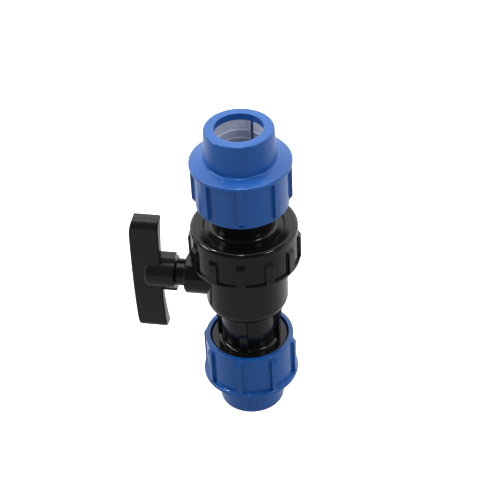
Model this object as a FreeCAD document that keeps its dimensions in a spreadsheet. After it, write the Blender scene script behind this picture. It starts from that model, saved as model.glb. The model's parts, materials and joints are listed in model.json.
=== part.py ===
import FreeCAD, Part
import math
import os
import re

import Sketcher

# Quarter-turn ball valve for plastic pipe, with a compression nut at each end and one union joint.
# Frame: +Z runs along the flow axis, the origin is the centre of the bottom nut's outer rim, and the
# stem lies along X with the handle on the -X side.

# ---------------------------------------------------------------- driving dimensions (millimetres, degrees)

DIMENSIONS = {
    "overall_length": 150.0,
    "flow_radius": 7.5,
    "stem_height": 70.0,
    "small_gap": 0.1,
    # screw threads, all of one ridge shape
    "thread_pitch": 4.0,
    "thread_foot": 2.4,
    "thread_tip": 1.1,
    "thread_gap": 0.25,
    "thread_bury": 0.3,
    # compression nut, measured inwards from its outer rim
    "nut_length": 37.7,
    "rim_radius": 14.8,
    "rim_round": 0.9,
    "collar_radius": 15.8,
    "collar_length": 14.5,
    "flange_radius": 21.9,
    "flange_rise": 1.4,
    "flange_thick": 1.7,
    "flange_slope": 0.4,
    "flange_round": 0.6,
    "nut_radius": 20.15,
    "lip_radius": 10.45,
    "lip_length": 3.0,
    "cone_small_radius": 11.6,
    "cone_large_radius": 14.05,
    "cone_end": 17.4,
    "mouth_radius": 18.0,
    "mouth_depth": 4.1,
    "nut_rib_reach": 21.5,
    "nut_rib_width": 2.8,
    "nut_rib_count": 8,
    "nut_rib_end": 36.9,
    "rib_slope_length": 2.4,
    "top_rib_turn": 35.5,
    "bottom_rib_turn": -4.0,
    "nut_thread_start": 19.2,
    "nut_thread_length": 12.0,
    # threaded pipe end on the valve body and on the tailpiece, measured from the same outer rim
    "barrel_start": 19.5,
    "barrel_root": 16.0,
    "barrel_crest": 17.5,
    "barrel_thread_start": 21.2,
    "shoulder_start": 34.0,
    "shoulder_end": 36.9,
    "seal_bore": 13.1,
    "seal_bore_end": 27.2,
    "socket_radius": 10.3,
    "socket_stop": 46.0,
    "end_chamfer": 0.6,
    "neck_round": 1.8,
    # pieces inside each pipe end
    "grip_start": 3.3,
    "grip_end": 16.3,
    "grip_gap": 0.2,
    "grip_bore": 10.6,
    "tooth_height": 0.45,
    "tooth_spacing": 4.0,
    "tooth_first": 8.3,
    "slit_width": 1.3,
    "slit_turn": -71.0,
    "bush_start": 17.6,
    "bush_flange_radius": 13.9,
    "bush_flange_end": 19.4,
    "bush_end": 22.8,
    "bush_nose_radius": 12.9,
    "bush_bore": 10.4,
    "seal_place": 24.6,
    "seal_major": 11.6,
    "seal_minor": 1.48,
    # valve body
    "lower_neck_radius": 12.5,
    "globe_bottom": 55.9,
    "globe_radius": 18.4,
    "globe_round": 5.6,
    "stop_collar_bottom": 82.3,
    "stop_collar_top": 83.6,
    "stop_collar_radius": 20.3,
    "union_root": 19.25,
    "union_crest": 20.45,
    "union_thread_start": 85.2,
    "union_thread_length": 6.4,
    "body_top": 93.0,
    "neck_rib_width": 3.6,
    "neck_rib_foot": 14.2,
    "neck_rib_head": 16.4,
    "boss_radius": 9.1,
    "boss_end": 27.0,
    "spigot_radius": 6.1,
    "spigot_end": 31.3,
    "spigot_rib_reach": 7.2,
    "spigot_rib_width": 1.6,
    "cavity_radius": 12.7,
    "cavity_bottom": 62.6,
    "seat_pocket_radius": 11.35,
    "seat_pocket_floor": 58.9,
    "backing_inner": 8.4,
    "backing_outer": 10.2,
    "backing_depth": 1.7,
    "carrier_floor": 80.6,
    "carrier_bore": 15.0,
    # ball, stem and their seals
    "ball_radius": 12.2,
    "slot_depth_at": 9.6,
    "tang_half_length": 4.8,
    "tang_half_width": 2.5,
    "seat_inner": 7.6,
    "seat_outer": 11.3,
    "seat_height": 3.4,
    "stem_radius": 4.5,
    "stem_clearance": 0.05,
    "stem_flange_radius": 6.3,
    "stem_flange_in": 13.0,
    "stem_flange_out": 15.2,
    "stem_counterbore": 6.6,
    "stem_counterbore_end": 15.4,
    "stem_ring_floor": 3.0,
    "stem_ring_width": 1.9,
    "inner_ring_place": 18.4,
    "outer_ring_place": 22.8,
    "stem_ring_minor": 0.75,
    "square_half": 3.1,
    "square_start": 31.1,
    "square_end": 38.0,
    # quarter-turn stop between the spigot and the handle hub
    "stop_depth": 1.5,
    "stop_half_angle": 68.0,
    "tooth_half_angle": 20.0,
    "tooth_rest_angle": -45.0,
    "stop_tooth_inner": 5.2,
    "stop_tooth_outer": 6.0,
    # seat carrier
    "carrier_nose_radius": 12.55,
    "carrier_nose_bottom": 77.9,
    "carrier_shoulder": 80.7,
    "carrier_radius": 14.95,
    "carrier_top": 92.9,
    "carrier_groove_low": 85.5,
    "carrier_groove_high": 87.9,
    "carrier_groove_floor": 12.9,
    "face_groove_inner": 11.4,
    "face_groove_outer": 14.0,
    "face_groove_floor": 90.7,
    "key_notch_reach": 9.4,
    "key_notch_width": 6.2,
    "face_ring_minor": 1.15,
    "carrier_ring_minor": 1.0,
    "backing_minor": 0.8,
    # union nut
    "union_bottom": 82.3,
    "union_top": 100.9,
    "union_radius": 23.5,
    "union_ring_radius": 24.3,
    "union_ring_top": 84.0,
    "union_dish": 0.5,
    "union_round": 2.0,
    "union_bore_top": 97.0,
    "union_hole": 17.75,
    "union_rib_reach": 24.6,
    "union_rib_width": 3.8,
    "union_rib_count": 12,
    "union_rib_turn": 6.0,
    "union_rib_top": 95.5,
    "union_nut_thread_start": 87.2,
    "union_nut_thread_length": 5.6,
    # tailpiece flange and neck, as heights in the assembly
    "tail_bottom": 93.2,
    "tail_flange_top": 96.7,
    "tail_flange_radius": 19.2,
    "tail_hub_radius": 17.45,
    "tail_hub_top": 99.9,
    "tail_neck_radius": 13.3,
    # handle
    "hub_start": 31.8,
    "hub_end": 45.9,
    "hub_radius": 7.5,
    "hub_round": 2.4,
    "lug_end": 38.0,
    "lug_width": 5.6,
    "lug_reach": 9.2,
    "lug_round": 0.5,
    "paddle_near": 38.0,
    "paddle_far": 51.4,
    "paddle_drop": 2.1,
    "paddle_half_length": 30.6,
    "paddle_front_tip": 2.9,
    "paddle_front_middle": 4.8,
    "paddle_back_tip": 4.6,
    "paddle_back_middle": 0.9,
    "paddle_front_round": 4.5,
    "paddle_edge_round": 0.8,
    "paddle_relief_length": 9.0,
    "paddle_relief_bend": 28.0,
    "drive_gap": 0.05,
}

SHEET_WORD = re.compile(r"[a-z][a-z_]*")
HALF_TURN = 180.0

doc = FreeCAD.newDocument("ball_valve")
sheet = doc.addObject("Spreadsheet::Sheet", "dim")
for row, (alias, number) in enumerate(DIMENSIONS.items(), start=1):
    sheet.set(f"A{row}", alias)
    sheet.set(f"B{row}", str(number))
    sheet.setAlias(f"B{row}", alias)
doc.recompute()


# ---------------------------------------------------------------- working with the sheet


def formula(text):
    """An expression for the document: each word that is an alias is read from the sheet."""

    def from_sheet(found):
        word = found.group()
        return "dim." + word if word in DIMENSIONS else word

    return SHEET_WORD.sub(from_sheet, text)


def value(text):
    """The present value of a formula, as a plain number."""
    result = sheet.evalExpression(formula(text))
    return float(getattr(result, "Value", result))


def bind(thing, **sizes):
    """Tie properties of an object to formulas of the sheet."""
    for name, text in sizes.items():
        thing.setExpression(name, formula(text))


def place(thing, x="0", y="0", z="0", axis=None, angle=0.0):
    """Set an object's Placement: a turn about axis, and a base tied to the sheet."""
    turn = FreeCAD.Rotation(axis or FreeCAD.Vector(0, 0, 1), angle)
    thing.Placement = FreeCAD.Placement(FreeCAD.Vector(value(x), value(y), value(z)), turn)
    for direction, text in (("x", x), ("y", y), ("z", z)):
        if text != "0":
            thing.setExpression(f".Placement.Base.{direction}", formula(text))


# ---------------------------------------------------------------- sketches and features


def new_body(label):
    body = doc.addObject("PartDesign::Body", label)
    body.Label = label
    return body


def origin_plane(body, role):
    return next(plane for plane in body.Origin.OriginFeatures if plane.Role == role)


def new_sketch(body, name, plane, shift=("0", "0", "0"), turn_axis=None, turn="0"):
    """A sketch on one of the body's own planes, shifted and turned in the plane's own directions."""
    sketch = body.newObject("Sketcher::SketchObject", name)
    sketch.AttachmentSupport = (origin_plane(body, plane), [""])
    sketch.MapMode = "FlatFace"
    base = FreeCAD.Vector(*[value(text) for text in shift])
    rotation = FreeCAD.Rotation(turn_axis or FreeCAD.Vector(0, 0, 1), value(turn))
    sketch.AttachmentOffset = FreeCAD.Placement(base, rotation)
    for direction, text in zip("xyz", shift):
        if text != "0":
            sketch.setExpression(f".AttachmentOffset.Base.{direction}", formula(text))
    if turn != "0":
        sketch.setExpression(".AttachmentOffset.Rotation.Angle", formula(turn))
    return sketch


def fix_point(sketch, geometry, point, across, up):
    """Hold one end of a line or arc at the place that two formulas give."""
    for kind, text, axis in (("DistanceX", across, -2), ("DistanceY", up, -1)):
        if text == "0":
            sketch.addConstraint(Sketcher.Constraint("PointOnObject", geometry, point, axis))
        else:
            held = Sketcher.Constraint(kind, -1, 1, geometry, point, value(text))
            index = sketch.addConstraint(held)
            sketch.setExpression(f"Constraints[{index}]", formula(text))


def outline(sketch, corners):
    """A closed outline of straight lines through corners, each a pair of formulas."""
    points = [FreeCAD.Vector(value(across), value(up), 0) for across, up in corners]
    count = len(points)
    for index in range(count):
        sketch.addGeometry(Part.LineSegment(points[index], points[(index + 1) % count]), False)
    for index in range(count):
        sketch.addConstraint(Sketcher.Constraint("Coincident", index, 2, (index + 1) % count, 1))
        fix_point(sketch, index, 1, *corners[index])


def turned(body, name, corners, cut=False, about_stem=False):
    """A solid of revolution, or a cut, about the flow axis or about the stem axis."""
    lift = ("0", "stem_height", "0") if about_stem else ("0", "0", "0")
    sketch = new_sketch(body, name + "_sketch", "XZ_Plane", lift)
    outline(sketch, corners)
    feature = body.newObject("PartDesign::Groove" if cut else "PartDesign::Revolution", name)
    feature.Profile = sketch
    feature.ReferenceAxis = (sketch, ["H_Axis" if about_stem else "V_Axis"])
    feature.Angle = 360.0
    doc.recompute()
    return feature


def padded(body, name, sketch, length, cut=False, both_ways=False, reverse=False):
    """A pad or pocket of a sketch, its length a formula."""
    feature = body.newObject("PartDesign::Pocket" if cut else "PartDesign::Pad", name)
    feature.Profile = sketch
    feature.Midplane = both_ways
    feature.Reversed = reverse
    bind(feature, Length=length)
    doc.recompute()
    return feature


def around(body, name, feature, count):
    """Copies of a feature evenly round the flow axis."""
    pattern = body.newObject("PartDesign::PolarPattern", name)
    pattern.Originals = [feature]
    pattern.Axis = (origin_plane(body, "Z_Axis"), [""])
    pattern.Angle = 360.0
    bind(pattern, Occurrences=count)
    body.Tip = pattern
    doc.recompute()
    return pattern


def side_ribs(body, name, corners, width, count, turn="0"):
    """Ribs round the flow axis, each with its side view given as corners (radius, height)."""
    turn_axis = FreeCAD.Vector(0, 1, 0)
    sketch = new_sketch(body, name + "_sketch", "XZ_Plane", turn_axis=turn_axis, turn=turn)
    outline(sketch, corners)
    rib = padded(body, name, sketch, width, both_ways=True)
    return around(body, name + "_pattern", rib, count)


def rounded(body, name, radius, wanted):
    """A fillet on every edge that wanted() picks out."""
    base = body.Tip
    edges = [f"Edge{number}" for number, edge in enumerate(base.Shape.Edges, start=1) if wanted(edge)]
    if not edges:
        raise ValueError(f"{name}: no edge to round")
    fillet = body.newObject("PartDesign::Fillet", name)
    fillet.Base = (base, edges)
    bind(fillet, Radius=radius)
    doc.recompute()
    return fillet


def circle_of(edge):
    """The circle that an edge lies on, or None for any other curve."""
    try:
        curve = edge.Curve
    except TypeError:
        return None
    return curve if isinstance(curve, Part.Circle) else None


def ring_edge(radius, height):
    """Picks the circular edges of a given radius at a given height on the flow axis."""

    def wanted(edge):
        circle = circle_of(edge)
        if circle is None:
            return False
        same_height = abs(circle.Center.z - value(height)) < 0.01
        return same_height and abs(circle.Radius - value(radius)) < 0.01

    return wanted


def screw_ridge(body, name, foot, tip, start, length):
    """A helical thread ridge standing from the radius foot to the radius tip."""
    outward = 1 if value(tip) > value(foot) else -1
    buried = f"{foot} - thread_bury" if outward > 0 else f"{foot} + thread_bury"
    sketch = new_sketch(body, name + "_sketch", "XZ_Plane")
    low_foot = f"{start} - thread_foot / 2"
    high_foot = f"{start} + thread_foot / 2"
    low_tip = f"{start} - thread_tip / 2"
    high_tip = f"{start} + thread_tip / 2"
    outline(
        sketch,
        [
            (buried, low_foot),
            (foot, low_foot),
            (tip, low_tip),
            (tip, high_tip),
            (foot, high_foot),
            (buried, high_foot),
        ],
    )
    ridge = body.newObject("PartDesign::AdditiveHelix", name)
    ridge.Profile = sketch
    ridge.ReferenceAxis = (sketch, ["V_Axis"])
    ridge.Mode = "pitch-height-angle"
    bind(ridge, Pitch="thread_pitch", Height=length)
    doc.recompute()
    return ridge


# ---------------------------------------------------------------- rings made from primitives


def rubber_ring(label, major, minor, height, along_stem=False):
    """An O-ring, round the flow axis at a height, or round the stem at a distance from the flow axis."""
    ring = doc.addObject("Part::Torus", label)
    ring.Label = label
    bind(ring, Radius1=major, Radius2=minor)
    if along_stem:
        place(ring, x=f"-({height})", z="stem_height", axis=FreeCAD.Vector(0, 1, 0), angle=90)
    else:
        place(ring, z=height)
    return ring


def ball_seat(label, bottom):
    """A plastic ring with a round seat cut by a sphere a little larger than the ball."""
    blank = doc.addObject("Part::Cylinder", label + "_blank")
    bind(blank, Radius="seat_outer", Height="seat_height")
    place(blank, z=bottom)
    bore = doc.addObject("Part::Cylinder", label + "_bore")
    bind(bore, Radius="seat_inner", Height="seat_height + 2")
    place(bore, z=f"{bottom} - 1")
    sphere = doc.addObject("Part::Sphere", label + "_sphere")
    bind(sphere, Radius="ball_radius + small_gap")
    place(sphere, z="stem_height")
    ring = doc.addObject("Part::Cut", label + "_ring")
    ring.Base = blank
    ring.Tool = bore
    seat = doc.addObject("Part::Cut", label)
    seat.Base = ring
    seat.Tool = sphere
    seat.Label = label
    return seat


# ---------------------------------------------------------------- the pipe end's own pieces


def compression_nut(label, rib_turn):
    body = new_body(label)
    bore = "barrel_crest + thread_gap"
    flange_low = "collar_length + flange_rise + flange_thick"
    turned(
        body,
        "shell",
        [
            ("lip_radius", "0"),
            ("rim_radius", "0"),
            ("collar_radius", "collar_length"),
            ("flange_radius", "collar_length + flange_rise"),
            ("flange_radius", flange_low),
            ("nut_radius", flange_low + " + flange_slope"),
            ("nut_radius", "nut_length"),
            ("mouth_radius", "nut_length"),
            ("mouth_radius", "nut_length - mouth_depth"),
            (bore, "nut_length - mouth_depth - thread_gap"),
            (bore, "cone_end"),
            ("cone_large_radius", "cone_end"),
            ("cone_small_radius", "lip_length"),
            ("lip_radius", "lip_length"),
        ],
    )
    rounded(body, "rim_fillet", "rim_round", ring_edge("rim_radius", "0"))
    rounded(body, "collar_fillet", "rim_round", ring_edge("collar_radius", "collar_length"))
    for name, height in (("near", "collar_length + flange_rise"), ("far", flange_low)):
        rounded(body, name + "_flange_fillet", "flange_round", ring_edge("flange_radius", height))
    rounded(body, "mouth_fillet", "flange_round", ring_edge("nut_radius", "nut_length"))
    side_ribs(
        body,
        "rib",
        [
            ("nut_radius - 1", "collar_length + flange_rise + 0.5"),
            ("nut_rib_reach", "collar_length + flange_rise + 0.5"),
            ("nut_rib_reach", "nut_rib_end - rib_slope_length"),
            ("nut_radius - 0.2", "nut_rib_end"),
            ("nut_radius - 1", "nut_rib_end"),
        ],
        "nut_rib_width",
        "nut_rib_count",
        rib_turn,
    )
    screw_ridge(body, "thread", bore, "barrel_root + thread_gap", "nut_thread_start", "nut_thread_length")
    return body


def grip_ring(label):
    body = new_body(label)
    slope = "(cone_large_radius - cone_small_radius) / (cone_end - lip_length)"
    tip = "grip_bore - tooth_height"
    corners = [("grip_bore + tooth_height / 2", "grip_start")]
    for number in range(2):
        edge = f"tooth_first + {number} * tooth_spacing"
        corners += [
            ("grip_bore", f"{edge} - tooth_height"),
            (tip, edge),
            (tip, f"{edge} + tooth_height / 4"),
            ("grip_bore", f"{edge} + tooth_height / 2"),
        ]
    corners += [
        ("grip_bore", "grip_end - tooth_height"),
        (tip, "grip_end - tooth_height / 4"),
        (tip, "grip_end"),
        (f"cone_small_radius - grip_gap + (grip_end - lip_length) * {slope}", "grip_end"),
        (f"cone_small_radius - grip_gap + (grip_start - lip_length) * {slope}", "grip_start"),
    ]
    turned(body, "ring", corners)
    sketch = new_sketch(body, "slit_sketch", "XY_Plane", turn="slit_turn")
    half = "slit_width / 2"
    reach = "cone_large_radius + 1"
    outline(sketch, [("0", f"-{half}"), (reach, f"-{half}"), (reach, half), ("0", half)])
    padded(body, "slit", sketch, "grip_end + 1", cut=True, reverse=True)
    return body


def thrust_bush(label):
    body = new_body(label)
    turned(
        body,
        "bush",
        [
            ("bush_bore", "bush_start"),
            ("bush_flange_radius", "bush_start"),
            ("bush_flange_radius", "bush_flange_end"),
            ("bush_nose_radius", "bush_flange_end"),
            ("bush_nose_radius", "bush_end"),
            ("bush_bore", "bush_end"),
        ],
    )
    return body


def pipe_end_bore(body, far_end):
    """Cuts the seal bore, the pipe socket and the flow bore of a threaded pipe end."""
    before = "barrel_start - 1"
    turned(
        body,
        "pipe_end_bore",
        [
            ("0", before),
            ("seal_bore", before),
            ("seal_bore", "seal_bore_end"),
            ("socket_radius", "seal_bore_end"),
            ("socket_radius", "socket_stop"),
            ("flow_radius", "socket_stop"),
            ("flow_radius", far_end),
            ("0", far_end),
        ],
        cut=True,
    )


def pipe_end_thread(body):
    """The outside thread of a pipe end, which carries a compression nut."""
    start, length = "barrel_thread_start", "nut_thread_length"
    screw_ridge(body, "pipe_thread", "barrel_root", "barrel_crest", start, length)


def barrel_corners(neck_radius):
    """The outside of a threaded pipe end, from its open end to the foot of its neck."""
    return [
        ("0", "barrel_start"),
        ("barrel_root - end_chamfer", "barrel_start"),
        ("barrel_root", "barrel_start + end_chamfer"),
        ("barrel_root", "shoulder_start"),
        ("barrel_crest", "shoulder_start"),
        ("barrel_crest", "shoulder_end"),
        (neck_radius, "shoulder_end"),
    ]


# ---------------------------------------------------------------- valve body and tailpiece


def valve_body():
    body = new_body("valve_body")
    turned(
        body,
        "outside",
        barrel_corners("lower_neck_radius")
        + [
            ("lower_neck_radius", "globe_bottom"),
            ("globe_radius", "globe_bottom"),
            ("globe_radius", "stop_collar_bottom"),
            ("stop_collar_radius", "stop_collar_bottom"),
            ("stop_collar_radius", "stop_collar_top"),
            ("union_root", "stop_collar_top"),
            ("union_root", "body_top - end_chamfer"),
            ("union_root - end_chamfer", "body_top"),
            ("0", "body_top"),
        ],
    )
    rounded(body, "neck_foot_fillet", "neck_round", ring_edge("lower_neck_radius", "shoulder_end"))
    rounded(body, "shoulder_fillet", "end_chamfer", ring_edge("barrel_crest", "shoulder_end"))
    rounded(body, "globe_fillet", "globe_round", ring_edge("globe_radius", "globe_bottom"))
    side_ribs(
        body,
        "neck_rib",
        [
            ("lower_neck_radius - 1", "shoulder_end - 0.5"),
            ("neck_rib_foot", "shoulder_end - 0.5"),
            ("neck_rib_foot", "socket_stop"),
            ("neck_rib_head", "globe_bottom + 2"),
            ("lower_neck_radius - 1", "globe_bottom + 2"),
        ],
        "neck_rib_width",
        "4",
    )
    turned(
        body,
        "stem_boss",
        [
            ("-cavity_radius", "0"),
            ("-cavity_radius", "boss_radius"),
            ("-boss_end + end_chamfer", "boss_radius"),
            ("-boss_end", "boss_radius - end_chamfer"),
            ("-boss_end", "spigot_radius"),
            ("-spigot_end", "spigot_radius"),
            ("-spigot_end", "0"),
        ],
        about_stem=True,
    )
    rib = new_sketch(body, "spigot_rib_sketch", "YZ_Plane", ("0", "stem_height", "-spigot_end"))
    half = "spigot_rib_width / 2"
    outline(
        rib,
        [
            (f"-{half}", "stem_radius + 0.6"),
            (half, "stem_radius + 0.6"),
            (half, "spigot_rib_reach"),
            (f"-{half}", "spigot_rib_reach"),
        ],
    )
    padded(body, "spigot_rib", rib, "spigot_end - boss_end + 1")
    pipe_end_bore(body, "seat_pocket_floor + 1")
    turned(
        body,
        "ball_cavity",
        [
            ("0", "seat_pocket_floor"),
            ("backing_inner", "seat_pocket_floor"),
            ("backing_inner", "seat_pocket_floor - backing_depth"),
            ("backing_outer", "seat_pocket_floor - backing_depth"),
            ("backing_outer", "seat_pocket_floor"),
            ("seat_pocket_radius", "seat_pocket_floor"),
            ("seat_pocket_radius", "cavity_bottom"),
            ("cavity_radius", "cavity_bottom"),
            ("cavity_radius", "carrier_floor"),
            ("carrier_bore", "carrier_floor"),
            ("carrier_bore", "body_top + 1"),
            ("0", "body_top + 1"),
        ],
        cut=True,
    )
    bore = "stem_radius + stem_clearance"
    turned(
        body,
        "stem_bore",
        [
            ("-flow_radius", "0"),
            ("-flow_radius", "stem_counterbore"),
            ("-stem_counterbore_end", "stem_counterbore"),
            ("-stem_counterbore_end", bore),
            ("-spigot_end - 1", bore),
            ("-spigot_end - 1", "0"),
        ],
        cut=True,
        about_stem=True,
    )
    notch = new_sketch(body, "stop_notch_sketch", "YZ_Plane", ("0", "stem_height", "-spigot_end"))
    reach = "boss_radius"
    outline(
        notch,
        [
            ("0", "0"),
            (f"{reach} * cos(stop_half_angle)", f"-{reach} * sin(stop_half_angle)"),
            (reach, f"-{reach} * sin(stop_half_angle)"),
            (reach, f"{reach} * sin(stop_half_angle)"),
            (f"{reach} * cos(stop_half_angle)", f"{reach} * sin(stop_half_angle)"),
        ],
    )
    padded(body, "stop_notch", notch, "stop_depth", cut=True, reverse=True)
    pipe_end_thread(body)
    screw_ridge(
        body,
        "union_thread",
        "union_root",
        "union_crest",
        "union_thread_start",
        "union_thread_length",
    )
    return body


def union_tailpiece():
    """Modelled upside down, from its own outer end inwards, and turned over by its Placement."""
    body = new_body("union_tailpiece")

    def inward(height):
        return f"overall_length - {height}"

    turned(
        body,
        "outside",
        barrel_corners("tail_neck_radius")
        + [
            ("tail_neck_radius", inward("tail_hub_top")),
            ("tail_hub_radius", inward("tail_hub_top")),
            ("tail_hub_radius", inward("tail_flange_top")),
            ("tail_flange_radius", inward("tail_flange_top")),
            ("tail_flange_radius", inward("tail_bottom")),
            ("0", inward("tail_bottom")),
        ],
    )
    rounded(body, "neck_foot_fillet", "neck_round", ring_edge("tail_neck_radius", "shoulder_end"))
    rounded(body, "hub_fillet", "neck_round", ring_edge("tail_neck_radius", inward("tail_hub_top")))
    rounded(body, "shoulder_fillet", "end_chamfer", ring_edge("barrel_crest", "shoulder_end"))
    pipe_end_bore(body, inward("tail_bottom") + " + 1")
    pipe_end_thread(body)
    return body


def union_nut():
    body = new_body("union_nut")
    bore = "union_crest + thread_gap"
    turned(
        body,
        "shell",
        [
            (bore, "union_bottom"),
            ("union_ring_radius", "union_bottom"),
            ("union_ring_radius", "union_ring_top"),
            ("union_radius", "union_ring_top"),
            ("union_radius", "union_top"),
            ("union_radius - union_round", "union_top"),
            ("union_hole", "union_top - union_dish"),
            ("union_hole", "union_bore_top"),
            (bore, "union_bore_top"),
        ],
    )
    rounded(body, "top_fillet", "union_round * 0.95", ring_edge("union_radius", "union_top"))
    rounded(body, "bottom_fillet", "end_chamfer", ring_edge("union_ring_radius", "union_bottom"))
    side_ribs(
        body,
        "rib",
        [
            ("union_radius - 0.6", "union_bottom + 0.9"),
            ("union_ring_radius - 0.1", "union_bottom + 0.9"),
            ("union_rib_reach", "union_bottom + 1.4"),
            ("union_rib_reach", "union_rib_top - 1.8"),
            ("union_radius - 0.1", "union_rib_top"),
            ("union_radius - 0.6", "union_rib_top"),
        ],
        "union_rib_width",
        "union_rib_count",
        "union_rib_turn",
    )
    crest = "union_root + thread_gap"
    screw_ridge(body, "thread", bore, crest, "union_nut_thread_start", "union_nut_thread_length")
    return body


# ---------------------------------------------------------------- seat carrier


def seat_carrier():
    body = new_body("seat_carrier")
    pocket_top = "2 * stem_height - seat_pocket_floor"
    turned(
        body,
        "carrier",
        [
            ("flow_radius", pocket_top),
            ("backing_inner", pocket_top),
            ("backing_inner", pocket_top + " + backing_depth"),
            ("backing_outer", pocket_top + " + backing_depth"),
            ("backing_outer", pocket_top),
            ("seat_pocket_radius", pocket_top),
            ("seat_pocket_radius", "carrier_nose_bottom"),
            ("carrier_nose_radius", "carrier_nose_bottom"),
            ("carrier_nose_radius", "carrier_shoulder"),
            ("carrier_radius", "carrier_shoulder"),
            ("carrier_radius", "carrier_groove_low"),
            ("carrier_groove_floor", "carrier_groove_low"),
            ("carrier_groove_floor", "carrier_groove_high"),
            ("carrier_radius", "carrier_groove_high"),
            ("carrier_radius", "carrier_top"),
            ("face_groove_outer", "carrier_top"),
            ("face_groove_outer", "face_groove_floor"),
            ("face_groove_inner", "face_groove_floor"),
            ("face_groove_inner", "carrier_top"),
            ("flow_radius", "carrier_top"),
        ],
    )
    sketch = new_sketch(body, "key_notch_sketch", "XY_Plane", ("0", "0", "carrier_top"))
    across = "key_notch_reach"
    half = "key_notch_width / 2"
    outline(sketch, [(f"-{across}", f"-{half}"), (across, f"-{half}"), (across, half), (f"-{across}", half)])
    padded(body, "key_notches", sketch, "carrier_top - face_groove_floor", cut=True)
    return body


# ---------------------------------------------------------------- ball, stem and handle


def ball():
    sphere = doc.addObject("Part::Sphere", "ball_sphere")
    bind(sphere, Radius="ball_radius")
    place(sphere, z="stem_height")
    bore = doc.addObject("Part::Cylinder", "ball_bore")
    bind(bore, Radius="flow_radius", Height="ball_radius * 2 + 2")
    place(bore, z="stem_height - ball_radius - 1")
    slot = doc.addObject("Part::Box", "ball_slot")
    half_length = "tang_half_length + 2 * small_gap"
    half_width = "tang_half_width + small_gap"
    bind(slot, Length="ball_radius", Width=f"2 * ({half_length})", Height=f"2 * ({half_width})")
    place(slot, x="-slot_depth_at - ball_radius", y=f"-({half_length})", z=f"stem_height - ({half_width})")
    bored = doc.addObject("Part::Cut", "ball_bored")
    bored.Base = sphere
    bored.Tool = bore
    finished = doc.addObject("Part::Cut", "ball")
    finished.Base = bored
    finished.Tool = slot
    finished.Label = "ball"
    return finished


def stem():
    body = new_body("stem")
    corners = [
        ("-stem_flange_in", "0"),
        ("-stem_flange_in", "stem_flange_radius"),
        ("-stem_flange_out", "stem_flange_radius"),
        ("-stem_flange_out", "stem_radius"),
    ]
    for ring_place in ("inner_ring_place", "outer_ring_place"):
        near = f"-{ring_place} + stem_ring_width / 2"
        far = f"-{ring_place} - stem_ring_width / 2"
        corners += [
            (near, "stem_radius"),
            (near, "stem_ring_floor"),
            (far, "stem_ring_floor"),
            (far, "stem_radius"),
        ]
    corners += [("-square_start", "stem_radius"), ("-square_start", "0")]
    turned(body, "shaft", corners, about_stem=True)
    tang = new_sketch(body, "tang_sketch", "YZ_Plane", ("0", "stem_height", "-stem_flange_in - 0.5"))
    rectangle(tang, "tang_half_length", "tang_half_width")
    padded(body, "tang", tang, "stem_flange_in + 0.5 - slot_depth_at - 2 * small_gap")
    square = new_sketch(body, "square_sketch", "YZ_Plane", ("0", "stem_height", "-square_end"))
    rectangle(square, "square_half", "square_half")
    padded(body, "square", square, "square_end - square_start + 1")
    return body


def rectangle(sketch, half_across, half_up):
    left = f"-{half_across}"
    low = f"-{half_up}"
    outline(sketch, [(left, low), (half_across, low), (half_across, half_up), (left, half_up)])


def shallow_arc(sketch, tip, middle):
    """An arc bowed towards the sketch's left, from the lever's upper tip to its lower tip."""
    sag = f"({middle} + {tip})"
    bend = f"(paddle_half_length ^ 2 + {sag} ^ 2) / (2 * {sag})"
    radius = value(bend)
    centre = FreeCAD.Vector(radius - value(middle), 0, 0)
    opening = math.asin(value("paddle_half_length") / radius)
    circle = Part.Circle(centre, FreeCAD.Vector(0, 0, 1), radius)
    arc = sketch.addGeometry(Part.ArcOfCircle(circle, math.pi - opening, math.pi + opening), False)
    fix_point(sketch, arc, 1, tip, "paddle_half_length")
    fix_point(sketch, arc, 2, tip, "-paddle_half_length")
    held = sketch.addConstraint(Sketcher.Constraint("Radius", arc, radius))
    sketch.setExpression(f"Constraints[{held}]", formula(bend))
    return arc


def paddle_outline(sketch):
    """Side view of the lever: two shallow arcs that sweep both tips back from the hub."""
    front = shallow_arc(sketch, "-paddle_front_tip", "paddle_front_middle")
    back = shallow_arc(sketch, "paddle_back_tip", "paddle_back_middle")
    for point, height in ((1, "paddle_half_length"), (2, "-paddle_half_length")):
        start = FreeCAD.Vector(-value("paddle_front_tip"), value(height), 0)
        end = FreeCAD.Vector(value("paddle_back_tip"), value(height), 0)
        line = sketch.addGeometry(Part.LineSegment(start, end), False)
        sketch.addConstraint(Sketcher.Constraint("Coincident", line, 1, front, point))
        sketch.addConstraint(Sketcher.Constraint("Coincident", line, 2, back, point))


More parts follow.
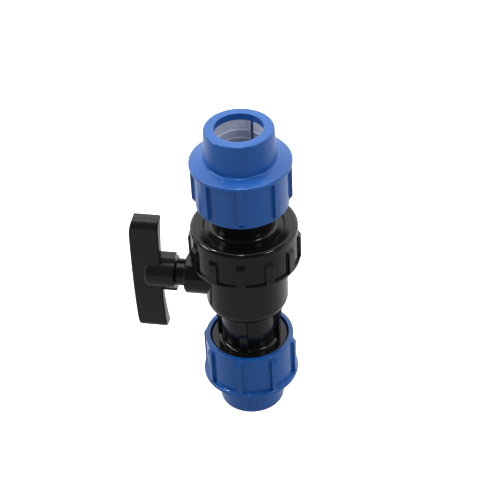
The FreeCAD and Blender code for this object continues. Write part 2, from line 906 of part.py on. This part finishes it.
def tip_relief(sketch):
    """The two slivers outside the arcs that draw the lever's outer side in towards its tips."""
    start = "(paddle_half_length - paddle_relief_length)"
    end = "(paddle_half_length + 1)"
    centre = FreeCAD.Vector(value("paddle_relief_bend - paddle_far"), 0, 0)
    rise = f"({end} - {start})"
    inset = f"paddle_relief_bend - sqrt(paddle_relief_bend ^ 2 - {rise} ^ 2) - paddle_far"
    opening = math.asin(value(rise) / value("paddle_relief_bend"))
    for sign, angles in (("", (math.pi - opening, math.pi)), ("-", (math.pi, math.pi + opening))):
        middle = FreeCAD.Vector(centre.x, value(sign + start), 0)
        circle = Part.Circle(middle, FreeCAD.Vector(0, 0, 1), value("paddle_relief_bend"))
        arc = sketch.addGeometry(Part.ArcOfCircle(circle, *angles), False)
        held = sketch.addConstraint(Sketcher.Constraint("Radius", arc, value("paddle_relief_bend")))
        sketch.setExpression(f"Constraints[{held}]", formula("paddle_relief_bend"))
        tip, foot = (1, 2) if sign == "" else (2, 1)
        fix_point(sketch, arc, foot, "-paddle_far", sign + start)
        fix_point(sketch, arc, tip, inset, sign + end)
        corners = [
            (inset, sign + end),
            ("-paddle_far - 1", sign + end),
            ("-paddle_far - 1", sign + start),
            ("-paddle_far", sign + start),
        ]
        points = [FreeCAD.Vector(value(across), value(up), 0) for across, up in corners]
        for first, last in zip(range(3), range(1, 4)):
            line = sketch.addGeometry(Part.LineSegment(points[first], points[last]), False)
            fix_point(sketch, line, 1, *corners[first])
            fix_point(sketch, line, 2, *corners[last])


def along_stem_edge(across, up):
    """Picks the lever's straight edges along the stem at a given place in its side view."""

    def wanted(edge):
        if len(edge.Vertexes) != 2 or circle_of(edge) is not None:
            return False
        first, last = edge.Vertexes[0].Point, edge.Vertexes[1].Point
        level = abs(first.y - last.y) < 0.01 and abs(first.z - last.z) < 0.01
        rise = abs(abs(first.z - value("stem_height - paddle_drop")) - value(up))
        return level and abs(first.y - value(across)) < 0.01 and rise < 0.01

    return wanted


def side_edge(distance):
    """Picks the lever's outline edges in a plane at a given distance from the flow axis."""

    def wanted(edge):
        box = edge.BoundBox
        flat = abs(box.XMin + value(distance)) < 0.01 and abs(box.XMax + value(distance)) < 0.01
        circle = circle_of(edge)
        on_hub = circle is not None and abs(circle.Radius - value("hub_radius")) < 0.01
        return flat and not on_hub

    return wanted


def hub_end_edge(edge):
    at_end = abs(edge.BoundBox.XMin + value("hub_end")) < 0.01
    return at_end and abs(edge.BoundBox.XMax + value("hub_end")) < 0.01


def lug_edge(edge):
    """Picks the four long outer edges of the two key lugs."""
    if len(edge.Vertexes) != 2 or circle_of(edge) is not None:
        return False
    first, last = edge.Vertexes[0].Point, edge.Vertexes[1].Point
    along = abs(first.y - last.y) < 0.01 and abs(first.z - last.z) < 0.01
    at_side = abs(abs(first.y) - value("lug_width / 2")) < 0.01
    at_reach = abs(abs(first.z - value("stem_height")) - value("lug_reach")) < 0.01
    return along and at_side and at_reach


def handle():
    body = new_body("handle")
    turned(
        body,
        "hub",
        [
            ("-hub_start", "0"),
            ("-hub_start", "hub_radius"),
            ("-hub_end", "hub_radius"),
            ("-hub_end", "0"),
        ],
        about_stem=True,
    )
    rounded(body, "hub_end_fillet", "hub_round", hub_end_edge)
    paddle_middle = ("0", "stem_height - paddle_drop", "-paddle_far")
    paddle = new_sketch(body, "paddle_sketch", "YZ_Plane", paddle_middle)
    paddle_outline(paddle)
    padded(body, "paddle", paddle, "paddle_far - paddle_near")
    rounded(
        body,
        "tip_front_fillet",
        "paddle_front_round",
        along_stem_edge("-paddle_front_tip", "paddle_half_length"),
    )
    rounded(
        body,
        "tip_back_fillet",
        "paddle_edge_round",
        along_stem_edge("paddle_back_tip", "paddle_half_length"),
    )
    rounded(body, "outer_side_fillet", "paddle_edge_round", side_edge("paddle_far"))
    rounded(body, "inner_side_fillet", "paddle_edge_round", side_edge("paddle_near"))
    relief = new_sketch(body, "relief_sketch", "XZ_Plane", ("0", "stem_height - paddle_drop", "0"))
    tip_relief(relief)
    padded(body, "relief", relief, "4 * hub_radius", cut=True, both_ways=True)
    lugs = new_sketch(body, "lug_sketch", "YZ_Plane", ("0", "stem_height", "-lug_end - 1"))
    rectangle(lugs, "lug_width / 2", "lug_reach")
    padded(body, "key_lugs", lugs, "lug_end + 1 - hub_start")
    rounded(body, "lug_fillet", "lug_round", lug_edge)
    tooth = new_sketch(body, "stop_tooth_sketch", "YZ_Plane", ("0", "stem_height", "-hub_start - 1"))
    corners = []
    for radius, side in (
        ("stop_tooth_inner", "-"),
        ("stop_tooth_outer", "-"),
        ("stop_tooth_outer", "+"),
        ("stop_tooth_inner", "+"),
    ):
        angle = f"(tooth_rest_angle {side} tooth_half_angle)"
        corners.append((f"{radius} * cos({angle})", f"{radius} * sin({angle})"))
    outline(tooth, corners)
    padded(body, "stop_tooth", tooth, "1 + hub_start - spigot_end + stop_depth - 3 * small_gap")
    socket = new_sketch(body, "square_socket_sketch", "YZ_Plane", ("0", "stem_height", "-hub_start"))
    rectangle(socket, "(square_half + drive_gap)", "(square_half + drive_gap)")
    padded(body, "square_socket", socket, "square_end - hub_start + 2 * small_gap", cut=True)
    return body


# ---------------------------------------------------------------- the assembly

flow_pieces = [
    valve_body(),
    union_nut(),
    seat_carrier(),
    compression_nut("bottom_compression_nut", "bottom_rib_turn"),
    grip_ring("bottom_grip_ring"),
    thrust_bush("bottom_thrust_bush"),
    rubber_ring("bottom_pipe_seal", "seal_major", "seal_minor", "seal_place"),
]

# the top pipe end repeats the bottom one, turned over about X
turned_over = [
    union_tailpiece(),
    compression_nut("top_compression_nut", "top_rib_turn"),
    grip_ring("top_grip_ring"),
    thrust_bush("top_thrust_bush"),
]
for piece in turned_over:
    place(piece, z="overall_length", axis=FreeCAD.Vector(1, 0, 0), angle=HALF_TURN)

backing_height = "seat_pocket_floor - backing_depth / 2"
seals = [
    rubber_ring("top_pipe_seal", "seal_major", "seal_minor", "overall_length - seal_place"),
    rubber_ring(
        "union_oring",
        "(face_groove_inner + face_groove_outer) / 2",
        "face_ring_minor",
        "face_groove_floor + face_ring_minor + small_gap",
    ),
    rubber_ring(
        "carrier_oring",
        "carrier_groove_floor + carrier_ring_minor",
        "carrier_ring_minor",
        "(carrier_groove_low + carrier_groove_high) / 2",
    ),
    rubber_ring(
        "lower_seat_backing_ring",
        "(backing_inner + backing_outer) / 2",
        "backing_minor",
        backing_height,
    ),
    rubber_ring(
        "upper_seat_backing_ring",
        "(backing_inner + backing_outer) / 2",
        "backing_minor",
        f"2 * stem_height - ({backing_height})",
    ),
    rubber_ring(
        "inner_stem_oring",
        "stem_ring_floor + stem_ring_minor",
        "stem_ring_minor",
        "inner_ring_place",
        along_stem=True,
    ),
    rubber_ring(
        "outer_stem_oring",
        "stem_ring_floor + stem_ring_minor",
        "stem_ring_minor",
        "outer_ring_place",
        along_stem=True,
    ),
]

ball_pieces = [
    ball_seat("lower_ball_seat", "seat_pocket_floor + small_gap / 2"),
    ball_seat("upper_ball_seat", "2 * stem_height - seat_pocket_floor - small_gap / 2 - seat_height"),
    ball(),
    stem(),
    handle(),
]

doc.recompute()

# ---------------------------------------------------------------- checks, then one file for each piece

for thing in doc.Objects:
    if "Invalid" in thing.State or "Error" in thing.State:
        raise RuntimeError(f"{thing.Name} failed: {thing.State}")

os.makedirs("parts", exist_ok=True)
for piece in flow_pieces + turned_over + seals + ball_pieces:
    shape = piece.Shape
    if shape.isNull() or not shape.isValid() or len(shape.Solids) != 1:
        raise RuntimeError(f"{piece.Label} is not one valid solid")
    shape.exportStep(os.path.join("parts", piece.Label + ".step"))
    print(f"{piece.Label:26s} {shape.Volume:10.1f} mm3")
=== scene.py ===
import json
import math

import bpy
from mathutils import Matrix, Vector

# Quarter-turn ball valve for plastic pipe: black body, union and lever, a blue compression nut at each end.
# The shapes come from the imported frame. This script adds the moulding detail, the materials and the studio.
# Everything is in metres, in the frame's own axes: +Z is the flow axis and the lever is on the -X side.

MM = 0.001

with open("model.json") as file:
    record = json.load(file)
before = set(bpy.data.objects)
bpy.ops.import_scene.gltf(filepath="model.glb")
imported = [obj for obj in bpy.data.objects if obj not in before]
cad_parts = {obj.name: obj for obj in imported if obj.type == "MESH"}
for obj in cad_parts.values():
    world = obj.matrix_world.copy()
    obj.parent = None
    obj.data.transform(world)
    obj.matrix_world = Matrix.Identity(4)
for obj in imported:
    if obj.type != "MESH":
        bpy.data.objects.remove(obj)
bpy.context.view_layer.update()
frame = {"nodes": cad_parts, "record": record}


# ---------------------------------------------------------------- camera

CAMERA_DISTANCE = 0.64475
CAMERA_AIM_HEIGHT = 0.075
CAMERA_ELEVATION = 0.687
CAMERA_AZIMUTH = math.radians(12)
CAMERA_YAW = -0.0033
CAMERA_PITCH = 0.0125
CAMERA_ROLL = 0.0538
CAMERA_LENS = 104.78
CAMERA_CLIP_START = 0.01


def build_camera():
    """A long lens looking down at the front, a little from the right, with the slight tilt of the view."""
    data = bpy.data.cameras.new("studio_camera")
    data.lens = CAMERA_LENS
    data.clip_start = CAMERA_CLIP_START
    camera = bpy.data.objects.new("studio_camera", data)
    bpy.context.scene.collection.objects.link(camera)
    level = math.cos(CAMERA_ELEVATION)
    back = Vector(
        (
            level * math.sin(CAMERA_AZIMUTH),
            -level * math.cos(CAMERA_AZIMUTH),
            math.sin(CAMERA_ELEVATION),
        )
    )
    turn = back.to_track_quat("Z", "Y").to_matrix()
    turn = turn @ Matrix.Rotation(CAMERA_YAW, 3, "Y")
    turn = turn @ Matrix.Rotation(CAMERA_PITCH, 3, "X")
    turn = turn @ Matrix.Rotation(-CAMERA_ROLL, 3, "Z")
    place = Vector((0, 0, CAMERA_AIM_HEIGHT)) + back * CAMERA_DISTANCE
    camera.matrix_world = Matrix.Translation(place) @ turn.to_4x4()
    bpy.context.scene.camera = camera


build_camera()


# ---------------------------------------------------------------- node helpers

MASK_SAMPLES = 4
ROUND_SAMPLES = 6


class Shader:
    """A material's node tree with short calls for the nodes that this script uses."""

    def __init__(self, name):
        self.material = bpy.data.materials.new(name)
        self.material.use_nodes = True
        self.tree = self.material.node_tree
        self.surface = self.tree.nodes["Principled BSDF"]
        self.place = self.tree.nodes.new("ShaderNodeTexCoord").outputs["Object"]

    def link(self, output, socket):
        self.tree.links.new(output, socket)

    def set(self, **values):
        """Constants on the shader's own sockets; an underscore in a name stands for a space."""
        for name, value in values.items():
            self.surface.inputs[name.replace("_", " ")].default_value = value

    def noise(self, size, detail=3.0, stretch=(1, 1, 1)):
        """Noise with features of about the given size in metres, as a factor round 0.5."""
        mapping = self.tree.nodes.new("ShaderNodeMapping")
        mapping.inputs["Scale"].default_value = stretch
        self.link(self.place, mapping.inputs["Vector"])
        node = self.tree.nodes.new("ShaderNodeTexNoise")
        node.inputs["Scale"].default_value = 1 / size
        node.inputs["Detail"].default_value = detail
        self.link(mapping.outputs["Vector"], node.inputs["Vector"])
        return node.outputs["Fac"]

    def spread(self, factor, low, high, start=0.3, end=0.7):
        """Maps a factor onto low to high."""
        node = self.tree.nodes.new("ShaderNodeMapRange")
        node.inputs["From Min"].default_value = start
        node.inputs["From Max"].default_value = end
        node.inputs["To Min"].default_value = low
        node.inputs["To Max"].default_value = high
        self.link(factor, node.inputs["Value"])
        return node.outputs["Result"]

    def mixed(self, factor, first, second):
        """A colour between first and second, each a colour or an output."""
        node = self.tree.nodes.new("ShaderNodeMix")
        node.data_type = "RGBA"
        self.link(factor, node.inputs["Factor"])
        for socket, colour in ((node.inputs[6], first), (node.inputs[7], second)):
            if isinstance(colour, bpy.types.NodeSocket):
                self.link(colour, socket)
            else:
                socket.default_value = (*colour, 1)
        return node.outputs[2]

    def added(self, first, second, share):
        """first + share * second."""
        node = self.tree.nodes.new("ShaderNodeMath")
        node.operation = "MULTIPLY_ADD"
        self.link(second, node.inputs[0])
        node.inputs[1].default_value = share
        self.link(first, node.inputs[2])
        return node.outputs[0]

    def edge_mask(self, radius):
        """1 within a small distance of a sharp edge, 0 on open surface."""
        bevel = self.tree.nodes.new("ShaderNodeBevel")
        bevel.inputs["Radius"].default_value = radius
        bevel.samples = MASK_SAMPLES
        geometry = self.tree.nodes.new("ShaderNodeNewGeometry")
        dot = self.tree.nodes.new("ShaderNodeVectorMath")
        dot.operation = "DOT_PRODUCT"
        self.link(bevel.outputs["Normal"], dot.inputs[0])
        self.link(geometry.outputs["Normal"], dot.inputs[1])
        return self.spread(dot.outputs["Value"], 1, 0, start=0.85, end=0.995)

    def bump(self, height, depth, edge_round):
        """Relief of the given depth, over edges that shade as if rounded, both in metres."""
        bevel = self.tree.nodes.new("ShaderNodeBevel")
        bevel.inputs["Radius"].default_value = edge_round
        bevel.samples = ROUND_SAMPLES
        node = self.tree.nodes.new("ShaderNodeBump")
        node.inputs["Distance"].default_value = depth
        self.link(height, node.inputs["Height"])
        self.link(bevel.outputs["Normal"], node.inputs["Normal"])
        self.link(node.outputs["Normal"], self.surface.inputs["Normal"])
        self.link(node.outputs["Normal"], self.surface.inputs["Coat Normal"])


def scaled(colour, factor):
    return tuple(channel * factor for channel in colour)


# ---------------------------------------------------------------- materials

PLASTIC_IOR = 1.49
FLOW_SIZE = 14 * MM
FLOW_STRETCH = (1, 1, 0.35)
FLOW_SHARE = 2.0
PEEL_SIZE = 1.6 * MM
PEEL_DEPTH = 0.012 * MM
# Reach and strength of the painted highlight that lightens the colour along sharp edges.
EDGE_SHEEN_REACH = 0.35 * MM
EDGE_SHEEN_SHARE = 0.5
DULL_EDGE = 0.12
MOULDED_EDGE_ROUND = 0.45 * MM
RUBBER_GRAIN = 0.35 * MM
RUBBER_GRAIN_DEPTH = 0.02 * MM
RUBBER_BLOOM = 6 * MM
RUBBER_EDGE_ROUND = 0.1 * MM


def moulded_plastic(name, colour, roughness, edge_sheen_brightness):
    """Glossy injection-moulded plastic: faint flow marks, a slight orange peel, a painted highlight that
    lightens the edges, and duller edges.
    """
    shader = Shader(name)
    flow = shader.noise(FLOW_SIZE, 4, stretch=FLOW_STRETCH)
    peel = shader.noise(PEEL_SIZE, 2)
    cloudy = shader.mixed(shader.spread(flow, 0, 1), scaled(colour, 0.93), scaled(colour, 1.07))
    # Painted highlight: near sharp edges the colour is lightened towards a brighter copy of the base colour,
    # as if the edges caught the light.
    edge = shader.edge_mask(EDGE_SHEEN_REACH)
    pale = shader.spread(edge, 0, EDGE_SHEEN_SHARE, 0, 1)
    edge_sheened_colour = shader.mixed(pale, cloudy, scaled(colour, edge_sheen_brightness))
    shader.link(edge_sheened_colour, shader.surface.inputs["Base Color"])
    patchy = shader.spread(flow, roughness * 0.85, roughness * 1.2)
    shader.link(shader.added(patchy, edge, DULL_EDGE), shader.surface.inputs["Roughness"])
    shader.bump(shader.added(peel, flow, FLOW_SHARE), PEEL_DEPTH, MOULDED_EDGE_ROUND)
    return shader


def nut_blue():
    """The nuts' blue: a fairly dull body under a thin glossy skin."""
    shader = moulded_plastic("nut_blue", (0.012, 0.114, 0.400), 0.26, 1.8)
    shader.set(IOR=PLASTIC_IOR, Specular_IOR_Level=0.5, Coat_Weight=0.25, Coat_Roughness=0.06)
    return shader.material


def gloss_black(name, tone, roughness):
    """Black plastic of the given darkness, with a faint green cast."""
    shader = moulded_plastic(name, (tone, tone * 1.06, tone * 1.04), roughness, 2.0)
    shader.set(IOR=PLASTIC_IOR, Specular_IOR_Level=0.5)
    return shader.material


def grip_white():
    """Milky acetal that lets a little light through."""
    shader = moulded_plastic("grip_white", (0.66, 0.68, 0.80), 0.34, 1.1)
    shader.set(Subsurface_Weight=0.35, Subsurface_Scale=2.5 * MM)
    shader.surface.inputs["Subsurface Radius"].default_value = (1.0, 0.95, 1.0)
    return shader.material


def soft_white(name, colour, roughness):
    """A pale inner plastic, slightly waxy."""
    shader = moulded_plastic(name, colour, roughness, 1.05)
    shader.set(Subsurface_Weight=0.15, Subsurface_Scale=1.0 * MM)
    return shader.material


def rubber():
    """Matt black rubber with a fine grain."""
    shader = Shader("seal_rubber")
    grain = shader.noise(RUBBER_GRAIN, 4)
    bloom = shader.noise(RUBBER_BLOOM, 3)
    tone = shader.mixed(shader.spread(bloom, 0, 1), (0.012, 0.012, 0.013), (0.028, 0.028, 0.028))
    shader.link(tone, shader.surface.inputs["Base Color"])
    shader.link(shader.spread(grain, 0.5, 0.7), shader.surface.inputs["Roughness"])
    shader.bump(grain, RUBBER_GRAIN_DEPTH, RUBBER_EDGE_ROUND)
    return shader.material


MATERIALS = {
    "nut_blue": nut_blue(),
    "body_black": gloss_black("body_black", 0.0115, 0.15),
    "union_black": gloss_black("union_black", 0.0085, 0.15),
    "handle_black": gloss_black("handle_black", 0.0150, 0.22),
    "grip_white": grip_white(),
    "bush_white": soft_white("bush_white", (0.52, 0.51, 0.55), 0.4),
    "seal_rubber": rubber(),
    "seat_ptfe": soft_white("seat_ptfe", (0.78, 0.78, 0.76), 0.5),
    "carrier_black": gloss_black("carrier_black", 0.0075, 0.38),
    "ball_plastic": soft_white("ball_plastic", (0.58, 0.58, 0.56), 0.22),
    "stem_plastic": gloss_black("stem_plastic", 0.0075, 0.35),
}

EDGE_ANGLE = math.radians(28)


def finish_nodes():
    """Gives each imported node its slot's material and smooth shading between its sharp edges."""
    for part in frame["record"]["subparts"]:
        node = frame["nodes"][part["node"]]
        node.data.materials.clear()
        node.data.materials.append(MATERIALS[part["material_slot"]])
        node.data.shade_smooth()
        node.data.set_sharp_from_angle(angle=EDGE_ANGLE)


finish_nodes()


# ---------------------------------------------------------------- studio

FLOOR_HALF = 6.0
FLOOR_HEIGHT = -14 * MM
FLOOR_TONE = 0.38
FLOOR_GLOW = 0.80
REAR_GLOW = 0.32
REAR_GLOW_REACH = 60 * MM
WORLD_TURN_START = -0.25
WORLD_TURN_END = 0.45
LIT_POINT = (0, 0, 0.08)


def build_floor():
    """A pale floor, just below the lowest place that the bottom nut reaches when it is unscrewed.

    It looks like a lit table: a glow that only the camera sees keeps it white, and a fainter one behind the
    object gives the glossy sides something bright to reflect.
    """
    mesh = bpy.data.meshes.new("floor")
    corners = [
        (-FLOOR_HALF, -FLOOR_HALF, 0),
        (FLOOR_HALF, -FLOOR_HALF, 0),
        (FLOOR_HALF, FLOOR_HALF, 0),
        (-FLOOR_HALF, FLOOR_HALF, 0),
    ]
    mesh.from_pydata(corners, [], [(0, 1, 2, 3)])
    floor = bpy.data.objects.new("floor", mesh)
    floor.location.z = FLOOR_HEIGHT
    bpy.context.scene.collection.objects.link(floor)
    material = bpy.data.materials.new("floor")
    material.use_nodes = True
    tree = material.node_tree
    surface = tree.nodes["Principled BSDF"]
    surface.inputs["Roughness"].default_value = 0.9
    surface.inputs["Specular IOR Level"].default_value = 0.1
    surface.inputs["Base Color"].default_value = (FLOOR_TONE, FLOOR_TONE, FLOOR_TONE, 1)
    surface.inputs["Emission Color"].default_value = (1, 1, 1, 1)
    place = tree.nodes.new("ShaderNodeTexCoord")
    split = tree.nodes.new("ShaderNodeSeparateXYZ")
    tree.links.new(place.outputs["Object"], split.inputs["Vector"])
    rear = tree.nodes.new("ShaderNodeMapRange")
    rear.interpolation_type = "SMOOTHSTEP"
    rear.inputs["From Min"].default_value = -REAR_GLOW_REACH
    rear.inputs["From Max"].default_value = REAR_GLOW_REACH
    rear.inputs["To Min"].default_value = 0
    rear.inputs["To Max"].default_value = REAR_GLOW
    tree.links.new(split.outputs["Y"], rear.inputs["Value"])
    path = tree.nodes.new("ShaderNodeLightPath")
    glow = tree.nodes.new("ShaderNodeMath")
    glow.operation = "MULTIPLY_ADD"
    glow.inputs[1].default_value = FLOOR_GLOW
    tree.links.new(path.outputs["Is Camera Ray"], glow.inputs[0])
    tree.links.new(rear.outputs["Result"], glow.inputs[2])
    tree.links.new(glow.outputs[0], surface.inputs["Emission Strength"])
    mesh.materials.append(material)


def soft_box(name, place, width, height, radiance, mirrored=True):
    """A rectangular light panel that faces the object, given by the brightness of its surface.

    A panel that is not mirrored lights the object but does not show in its gloss.
    """
    data = bpy.data.lights.new(name, "AREA")
    data.shape = "RECTANGLE"
    data.size = width
    data.size_y = height
    data.energy = radiance * math.pi * width * height
    panel = bpy.data.objects.new(name, data)
    bpy.context.scene.collection.objects.link(panel)
    direction = Vector(LIT_POINT) - Vector(place)
    turn = direction.to_track_quat("-Z", "Y").to_matrix().to_4x4()
    panel.matrix_world = Matrix.Translation(place) @ turn
    panel.visible_camera = False
    panel.visible_glossy = mirrored


def build_world(front, rear):
    """Even light from all round, brighter behind the object than on the camera's side."""
    world = bpy.data.worlds.new("studio_world")
    bpy.context.scene.world = world
    world.use_nodes = True
    tree = world.node_tree
    background = tree.nodes["Background"]
    background.inputs["Color"].default_value = (1, 1, 1, 1)
    place = tree.nodes.new("ShaderNodeTexCoord")
    split = tree.nodes.new("ShaderNodeSeparateXYZ")
    ramp = tree.nodes.new("ShaderNodeMapRange")
    ramp.interpolation_type = "SMOOTHSTEP"
    ramp.inputs["From Min"].default_value = WORLD_TURN_START
    ramp.inputs["From Max"].default_value = WORLD_TURN_END
    ramp.inputs["To Min"].default_value = front
    ramp.inputs["To Max"].default_value = rear
    tree.links.new(place.outputs["Generated"], split.inputs["Vector"])
    tree.links.new(split.outputs["Y"], ramp.inputs["Value"])
    tree.links.new(ramp.outputs["Result"], background.inputs["Strength"])


bpy.context.scene.view_settings.view_transform = "Standard"
bpy.context.scene.view_settings.look = "Medium High Contrast"
build_floor()
build_world(0.09, 1.3)
soft_box("overhead_box", (-0.05, 0.10, 1.35), 0.90, 0.60, 1.4)
soft_box("overhead_strip", (-0.05, 0.00, 1.34), 1.00, 0.06, 15.0)
soft_box("left_box", (-1.15, -0.22, 0.80), 0.42, 0.42, 8.0)
soft_box("right_box", (1.02, -0.48, 0.92), 0.36, 0.40, 7.0)
soft_box("front_box", (0.10, -1.10, 0.45), 0.60, 0.40, 2.2, mirrored=False)
soft_box("ceiling_lamp_left", (-0.66, 0.02, 1.22), 0.05, 0.05, 220.0)
